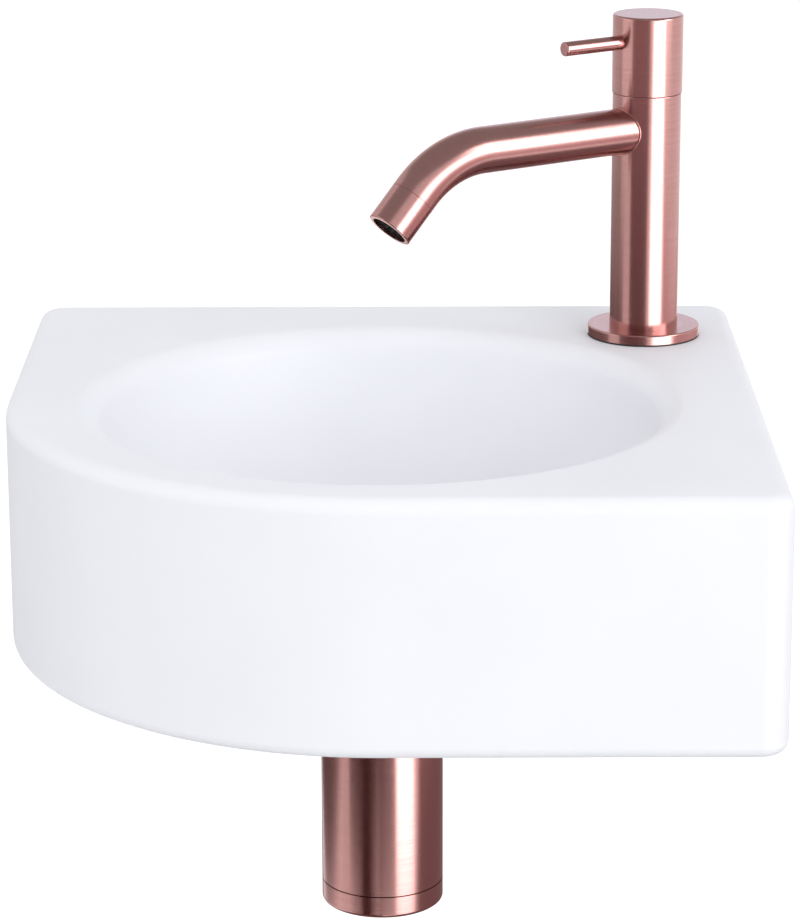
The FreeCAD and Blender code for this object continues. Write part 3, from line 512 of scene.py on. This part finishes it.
# Moulded plastic: a matt or satin skin with a spark-eroded grain about 0.8 mm wide.


def moulded(name, dark, light, rough):
    """Plain moulded plastic in two close tones."""
    spark_grain = 0.8 * mm
    spark_depth = 0.03 * mm
    material, tree, output = new_material(name)
    place = add(tree, "ShaderNodeTexCoord", {}).outputs["Object"]
    grain = add(tree, "ShaderNodeTexNoise",
                {"Vector": place, "Scale": 1 / spark_grain, "Detail": 2.0}).outputs["Fac"]
    tint = add(tree, "ShaderNodeMix", {"Factor": grain, "A": srgb(dark), "B": srgb(light)}, data_type="RGBA")
    bump = add(tree, "ShaderNodeBump",
               {"Height": grain, "Strength": 0.3, "Distance": spark_depth}).outputs["Normal"]
    shader = add(tree, "ShaderNodeBsdfPrincipled", {"Base Color": tint.outputs["Result"], "Roughness": rough,
                                                    "Normal": bump})
    tree.links.new(shader.outputs["BSDF"], output.inputs["Surface"])
    return material


dress(moulded("black_acetal", dark="#0C0C0D", light="#141415", rough=0.85), "aerator")

# Handle: a solid cap in the pillar's width on the valve's spindle, with a thin rod screwed into its side as a
# lever, a small socket screw behind, and a slip ring that shows as a fine line above the pillar.
dress(tap_copper, "handle_cap")
seam_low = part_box("tap_body")[1].z
seam_depth = 0.35 * mm
slip_ring_wall = 2 * mm
bpy.ops.object.select_all(action="DESELECT")
bpy.ops.mesh.primitive_cylinder_add(vertices=96, radius=pillar_radius - seam_depth,
                                    depth=handle_low.z - seam_low, end_fill_type="NOTHING",
                                    location=(tap_axis.x, tap_axis.y, (handle_low.z + seam_low) / 2))
slip_ring = named("handle_slip_ring")
bpy.ops.object.transform_apply(location=True, rotation=True, scale=True)
wall = slip_ring.modifiers.new("ring wall", "SOLIDIFY")
wall.thickness = slip_ring_wall
wall.offset = -1
bpy.ops.object.modifier_apply(modifier=wall.name)
shade(slip_ring, 40)
slip_ring.data.materials.append(tap_copper)
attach(slip_ring, "handle")
lever_low, lever_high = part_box("lever_rod")
lever_start = Vector((tap_axis.x, tap_axis.y, (lever_low.z + lever_high.z) / 2))
dress(brushed("rose_copper_lever", rose_dark, rose_light, rose_smooth, rose_rough, lever_start, outward),
      "lever_rod")

# Stainless steel, stamped or turned: cool grey, with fine scratches round the tap's axis.
steel = brushed("stainless_steel", dark="#8E9094", light="#B4B6BA", smooth=0.2, rough=0.34, centre=tap_axis)
dress(steel, "handle_grub_screw", "spindle_clip", "tap_steel_washer")

# Valve: a brass headwork sealed in the pillar, with two lapped ceramic discs under a spindle that the handle
# turns. The brass is bare and keeps the fine rings of the lathe tool.
brass_dark = "#BB9959"
brass_light = "#CCAB6C"
brass_smooth = 0.18
brass_rough = 0.32
brass = brushed("turned_brass", brass_dark, brass_light, brass_smooth, brass_rough, tap_axis)
dress(brass, "headwork_body", "spindle")

# Alumina ceramic, sintered and lapped: ivory white with a fine sugary grain about 0.5 mm wide.
sugar_grain = 0.5 * mm
alumina, tree, output = new_material("lapped_alumina")
place = add(tree, "ShaderNodeTexCoord", {}).outputs["Object"]
grain = add(tree, "ShaderNodeTexNoise",
            {"Vector": place, "Scale": 1 / sugar_grain, "Detail": 2.0}).outputs["Fac"]
tint = add(tree, "ShaderNodeMix",
           {"Factor": grain, "A": srgb("#E3DED2"), "B": srgb("#F1EEE6")}, data_type="RGBA")
shader = add(tree, "ShaderNodeBsdfPrincipled", {"Base Color": tint.outputs["Result"], "Roughness": 0.25,
                                                "IOR": 1.76})
tree.links.new(shader.outputs["BSDF"], output.inputs["Surface"])
dress(alumina, "fixed_ceramic_disc", "turning_ceramic_disc")

# Tap tail: a turned brass tube through the deck, with a half-inch pipe thread in two runs. A relief parts the
# back nut's run from the run that takes the supply hose.
tail_low, tail_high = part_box("tap_shank")
tail_radius = (tail_high.x - tail_low.x) / 2
tail_bore = 6 * mm
tail_chamfer = 0.8 * mm
thread_pitch = 1.814 * mm
thread_core = tail_radius - thread_pitch / 2
hose_run = 18 * mm
relief_radius = 9.4 * mm
relief_width = 2 * mm
relief_low = tail_low.z + hose_run
relief_high = relief_low + relief_width
thread_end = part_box("tap_back_nut")[1].z
tail_section = [(tail_bore, tail_low.z), (thread_core - tail_chamfer, tail_low.z),
                (thread_core, tail_low.z + tail_chamfer), (thread_core, relief_low),
                (relief_radius, relief_low), (relief_radius, relief_high), (thread_core, relief_high),
                (thread_core, thread_end), (tail_radius, thread_end), (tail_radius, tail_high.z),
                (tail_bore, tail_high.z)]
bpy.ops.object.select_all(action="DESELECT")
bpy.ops.object.add(type="MESH")
tail = named("threaded_tail")
bpy.ops.object.mode_set(mode="EDIT")
draw_chain([tap_axis + Vector((radius, 0, height)) for radius, height in tail_section + tail_section[:1]])
bpy.ops.mesh.select_all(action="SELECT")
bpy.ops.mesh.spin(steps=96, angle=2 * math.pi, center=tap_axis, axis=(0, 0, 1))
bpy.ops.mesh.select_all(action="SELECT")
bpy.ops.mesh.remove_doubles(threshold=weld_gap)
bpy.ops.mesh.normals_make_consistent(inside=False)
bpy.ops.object.mode_set(mode="OBJECT")
for run_low, run_high in ((tail_low.z + tail_chamfer, relief_low), (relief_high, thread_end)):
    bpy.ops.object.select_all(action="DESELECT")
    bpy.ops.mesh.primitive_circle_add(vertices=4, radius=thread_pitch / 2, rotation=(math.pi / 2, 0, 0),
                                      location=(tap_axis.x, tap_axis.y, run_low + thread_pitch / 2))
    ridge = bpy.context.object
    bpy.ops.object.transform_apply(location=False, rotation=True, scale=True)
    bpy.ops.object.mode_set(mode="EDIT")
    bpy.ops.mesh.select_all(action="SELECT")
    bpy.ops.transform.translate(value=(thread_core, 0, 0))
    bpy.ops.object.mode_set(mode="OBJECT")
    coil = ridge.modifiers.new("thread", "SCREW")
    coil.screw_offset = thread_pitch
    coil.iterations = int((run_high - run_low) / thread_pitch) - 1
    coil.steps = 48
    coil.render_steps = 48
    bpy.ops.object.modifier_apply(modifier=coil.name)
    bpy.ops.object.transform_apply(location=True, rotation=True, scale=True)
    bpy.ops.object.mode_set(mode="EDIT")
    bpy.ops.mesh.select_all(action="SELECT")
    bpy.ops.mesh.fill_holes(sides=4)
    bpy.ops.mesh.select_all(action="SELECT")
    bpy.ops.mesh.normals_make_consistent(inside=False)
    bpy.ops.object.mode_set(mode="OBJECT")
    tail.select_set(True)
    bpy.context.view_layer.objects.active = tail
    bpy.ops.object.join()
shade(tail, 30)
tail.data.materials.append(brass)
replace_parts(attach(tail, "basin_assembly"), "tap_shank")

# Back nut of the tap: sawn from hexagonal brass bar and chamfered on the lathe. It clamps the tap from below
# through a rubber washer and a steel washer.
nut_room = 0.1 * mm
nut_chamfer = math.radians(30)
# The lathe's facets are turned a little, so that none of them meets a corner of the bar.
facet_turn = math.radians(1.3)


def hex_nut(name, node, bore, metal):
    """A bored hexagon with both ends turned to a chamfer."""
    low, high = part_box(node)
    middle = (low + high) / 2
    corner = (high.x - low.x) / 2
    flat = (high.y - low.y) / 2
    chamfer = (corner - flat) * math.tan(nut_chamfer)
    bar_length = high.z - low.z + 2 * chamfer
    narrowing = (flat - nut_room) / (corner + nut_room)
    bpy.ops.object.select_all(action="DESELECT")
    bpy.ops.mesh.primitive_cylinder_add(vertices=6, radius=corner, depth=bar_length, location=middle,
                                        rotation=(0, 0, math.pi / 6))
    nut = named(name)
    bpy.ops.object.transform_apply(location=True, rotation=True, scale=True)
    bpy.ops.object.select_all(action="DESELECT")
    bpy.ops.mesh.primitive_cylinder_add(vertices=96, radius=corner + nut_room, location=middle,
                                        depth=high.z - low.z - 2 * chamfer, rotation=(0, 0, facet_turn))
    turned = bpy.context.object
    bpy.ops.object.transform_apply(location=True, rotation=True, scale=True)
    bpy.ops.object.mode_set(mode="EDIT")
    for level, rise in ((low.z + chamfer, -chamfer), (high.z - chamfer, chamfer)):
        pick("FACE", lambda p: near(p.z, level))
        bpy.ops.mesh.extrude_region_move(TRANSFORM_OT_translate={"value": (0, 0, rise)})
        bpy.ops.transform.resize(value=(narrowing, narrowing, 1), center_override=middle)
    bpy.ops.object.mode_set(mode="OBJECT")
    cut(nut, turned, "INTERSECT")
    bpy.ops.object.select_all(action="DESELECT")
    bpy.ops.mesh.primitive_cylinder_add(vertices=96, radius=bore, depth=bar_length, location=middle,
                                        rotation=(0, 0, facet_turn))
    cut(nut, bpy.context.object, "DIFFERENCE")
    shade(nut, 20)
    nut.data.materials.clear()
    nut.data.materials.append(metal)
    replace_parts(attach(nut, "basin_assembly"), node)


hex_nut("tap_hex_nut", "tap_back_nut", tail_radius + nut_room, brass)

# Waste: a flanged brass waste clamped in the drain hole, with a shallow domed cap that stands over the
# always open drain.
drain_copper = brushed("rose_copper_drain", rose_dark, rose_light, rose_smooth, rose_rough, drain_axis)
dress(drain_copper, "waste_body", "drain_cap")
drain_brass = brushed("turned_brass_drain", brass_dark, brass_light, brass_smooth, brass_rough, drain_axis)
dress(drain_brass, "drain_cap_stud")
waste_radius = 20.8 * mm
hex_nut("waste_hex_nut", "waste_back_nut", waste_radius + nut_room, drain_brass)
dress(moulded("white_polythene", dark="#DCDCDA", light="#EAEAE8", rough=0.45), "waste_slip_washer")

# Bottle trap: a height-adjustable inlet pipe held by two round nuts, a plain bottle in drawn brass, and a
# cleaning cup screwed into its foot with a fine dark seam.
dress(drain_copper, "trap_union_nut", "trap_dip_tube", "trap_top_nut", "trap_body", "trap_cup")

# Outlet: a straight pipe from the bottle's socket into the wall, with a compression nut and a dished rosette
# that slides against the wall.
pipe_low, pipe_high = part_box("trap_outlet_pipe")
outlet_axis = Vector(((pipe_low.x + pipe_high.x) / 2, 0, (pipe_low.z + pipe_high.z) / 2))
outlet_copper = brushed("rose_copper_outlet", rose_dark, rose_light, rose_smooth, rose_rough, outlet_axis,
                        Vector((0, 1, 0)))
dress(outlet_copper, "trap_outlet_nut", "trap_outlet_pipe", "wall_rosette")

# Camera: at the photograph's angle, about 1.55 m in front of the wall and 0.38 m above the deck, with a long
# lens that tilts down by 16 degrees.
lens = bpy.data.cameras.new("camera")
lens.lens = 141.652
lens.sensor_width = 36
lens.clip_end = 60
camera = bpy.data.objects.new("camera", lens)
bpy.context.scene.collection.objects.link(camera)
camera.location = (0.00624, -1.5456, 0.42117)
camera_yaw = -0.0003
camera_pitch = 0.2819
camera_roll = -0.0028
camera.rotation_euler = (Matrix.Rotation(camera_yaw, 3, "Z")
                         @ Matrix.Rotation(math.pi / 2 - camera_pitch, 3, "X")
                         @ Matrix.Rotation(camera_roll, 3, "Z")).to_euler()
bpy.context.scene.camera = camera
bpy.context.scene.view_settings.view_transform = "Standard"

# Studio: soft light from all round, white where the camera and the metal look, a key light from the front
# right and a pale floor well below the wall-hung basin.
ambient = 0.8
white = "#FFFFFF"
world = bpy.data.worlds.new("studio")
bpy.context.scene.world = world
world.use_nodes = True
world.node_tree.nodes.clear()


def looked_at(tree):
    """A socket that is one for rays from the camera, from metal and through glass, and zero for the rest."""
    ray = add(tree, "ShaderNodeLightPath", {}).outputs
    seen = add(tree, "ShaderNodeMath", {0: ray["Is Camera Ray"], 1: ray["Is Glossy Ray"]},
               operation="MAXIMUM").outputs["Value"]
    return add(tree, "ShaderNodeMath", {0: seen, 1: ray["Is Transmission Ray"]},
               operation="MAXIMUM").outputs["Value"]


level = add(world.node_tree, "ShaderNodeMapRange",
            {"Value": looked_at(world.node_tree), "To Min": ambient, "To Max": 1.0}).outputs["Result"]
sky = add(world.node_tree, "ShaderNodeBackground", {"Color": srgb(white), "Strength": level})
add(world.node_tree, "ShaderNodeOutputWorld", {"Surface": sky.outputs["Background"]})

floor_drop = 0.85
floor_size = 40
floor_glow = 0.5
bpy.ops.object.select_all(action="DESELECT")
bpy.ops.mesh.primitive_plane_add(size=floor_size, location=(0, 0, -floor_drop))
floor = named("floor")
pale, tree, output = new_material("pale_floor")
matt = add(tree, "ShaderNodeBsdfDiffuse", {"Color": srgb("#E6E6E6")}).outputs["BSDF"]
lift = add(tree, "ShaderNodeMath", {0: looked_at(tree), 1: floor_glow},
           operation="MULTIPLY").outputs["Value"]
glow = add(tree, "ShaderNodeEmission", {"Color": srgb(white), "Strength": lift}).outputs["Emission"]
both = add(tree, "ShaderNodeAddShader", {0: matt, 1: glow}).outputs["Shader"]
tree.links.new(both, output.inputs["Surface"])
floor.data.materials.append(pale)

# Cards and lamps stand round this point, between the bowl and the tap.
stand = Vector((0.05, -0.11, 0))


def card(name, place, turn, width, height, strength, colour=white):
    """A studio card that only reflections see."""
    bpy.ops.mesh.primitive_plane_add(size=1, location=place, rotation=turn)
    panel = named(name)
    panel.scale = (width, height, 1)
    material, tree, output = new_material(name)
    glow = add(tree, "ShaderNodeEmission", {"Color": srgb(colour), "Strength": strength}).outputs["Emission"]
    tree.links.new(glow, output.inputs["Surface"])
    panel.data.materials.append(material)
    panel.visible_camera = False
    panel.visible_diffuse = False
    panel.visible_shadow = False


# Cards in a ring, each with its first and last angle from the front in degrees, its low and high edge in
# metres, its strength and its colour. The bright ones draw the light bands on the metal, and the dim red ones
# its shade.
card_distance = 1.6
upright = math.pi / 2
flag_red = "#FFDADD"
deep_red = "#FFA79E"
for name, first, last, low, high, strength, colour in (
        ("strip_light", 17, 59, -0.5, 0.12, 5.0, white),
        ("bend_strip_light", 32, 59, 0.12, 0.6, 4.5, white),
        ("low_strip_light", 25, 60, -0.84, -0.5, 5.0, white),
        ("spout_strip_light", 59, 80, 0.0, 1.3, 5.0, white),
        ("dark_flag", -54, 6, -0.5, -0.2, 0.21, flag_red),
        ("cap_flag", -54, 6, -0.2, 0.06, 0.5, flag_red),
        ("upper_dark_flag", -54, 6, 0.06, 1.0, 0.21, flag_red),
        ("low_dark_flag", -64, -8, -0.84, -0.5, 0.06, deep_red),
        ("low_front_card", -8, 23, -0.84, -0.5, 0.13, flag_red),
        ("left_card", -95, -56, -0.32, -0.2, 0.82, white),
        ("high_left_card", -95, -56, -0.2, 1.0, 1.3, white),
        ("low_left_light", -80, -65, -0.84, -0.32, 0.95, white),
        ("left_grey_card", -165, -95, -0.32, -0.2, 0.45, white),
        ("high_left_grey_card", -165, -95, -0.2, 1.0, 0.8, white),
        ("low_left_card", -165, -80, -0.84, -0.32, 0.16, flag_red),
        ("low_right_card", 66, 150, -0.84, -0.32, 0.78, flag_red)):
    middle = math.radians((first + last) / 2)
    width = 2 * card_distance * math.tan(math.radians((last - first) / 2))
    spot = stand + Vector((math.sin(middle), -math.cos(middle), 0)) * card_distance
    card(name, (spot.x, spot.y, (low + high) / 2), (upright, 0, middle), width, high - low, strength, colour)
card("back_card", (0, 1.6, 1.3), (upright, 0, 0), width=3.6, height=0.7, strength=0.5)
card("low_back_card", (0.25, 1.6, 0.5), (upright, 0, 0), width=0.8, height=0.8, strength=1.3,
     colour="#EAF2FF")
card("overhead_card", (0.2, 0, 1.6), (0, 0, 0), width=3.4, height=3.4, strength=0.4)
card("floor_flag", (-0.45, -0.9, -0.83), (0, 0, 0), width=0.9, height=1.3, strength=0.1, colour=deep_red)
card("under_flag", (0.275, 0.175, -0.35), (0, 0, 0), width=0.95, height=1.05, strength=0.26, colour=flag_red)


def lamp(name, angle, height, distance, size, power):
    """A square soft light that aims at the basin and isn't mirrored in the metal."""
    light = bpy.data.lights.new(name, "AREA")
    light.size = size
    light.energy = power
    turn = math.radians(angle)
    holder = bpy.data.objects.new(name, light)
    bpy.context.scene.collection.objects.link(holder)
    holder.location = stand + Vector((math.sin(turn) * distance, -math.cos(turn) * distance, height))
    holder.rotation_euler = (holder.location - stand).to_track_quat("Z", "Y").to_euler()
    holder.visible_camera = False
    holder.visible_glossy = False


lamp("key_light", angle=34, height=0.7, distance=2.2, size=1.2, power=16)
lamp("fill_light", angle=-58, height=0.5, distance=2.2, size=1.4, power=7)
lamp("top_light", angle=20, height=2.4, distance=0.3, size=1.6, power=5)
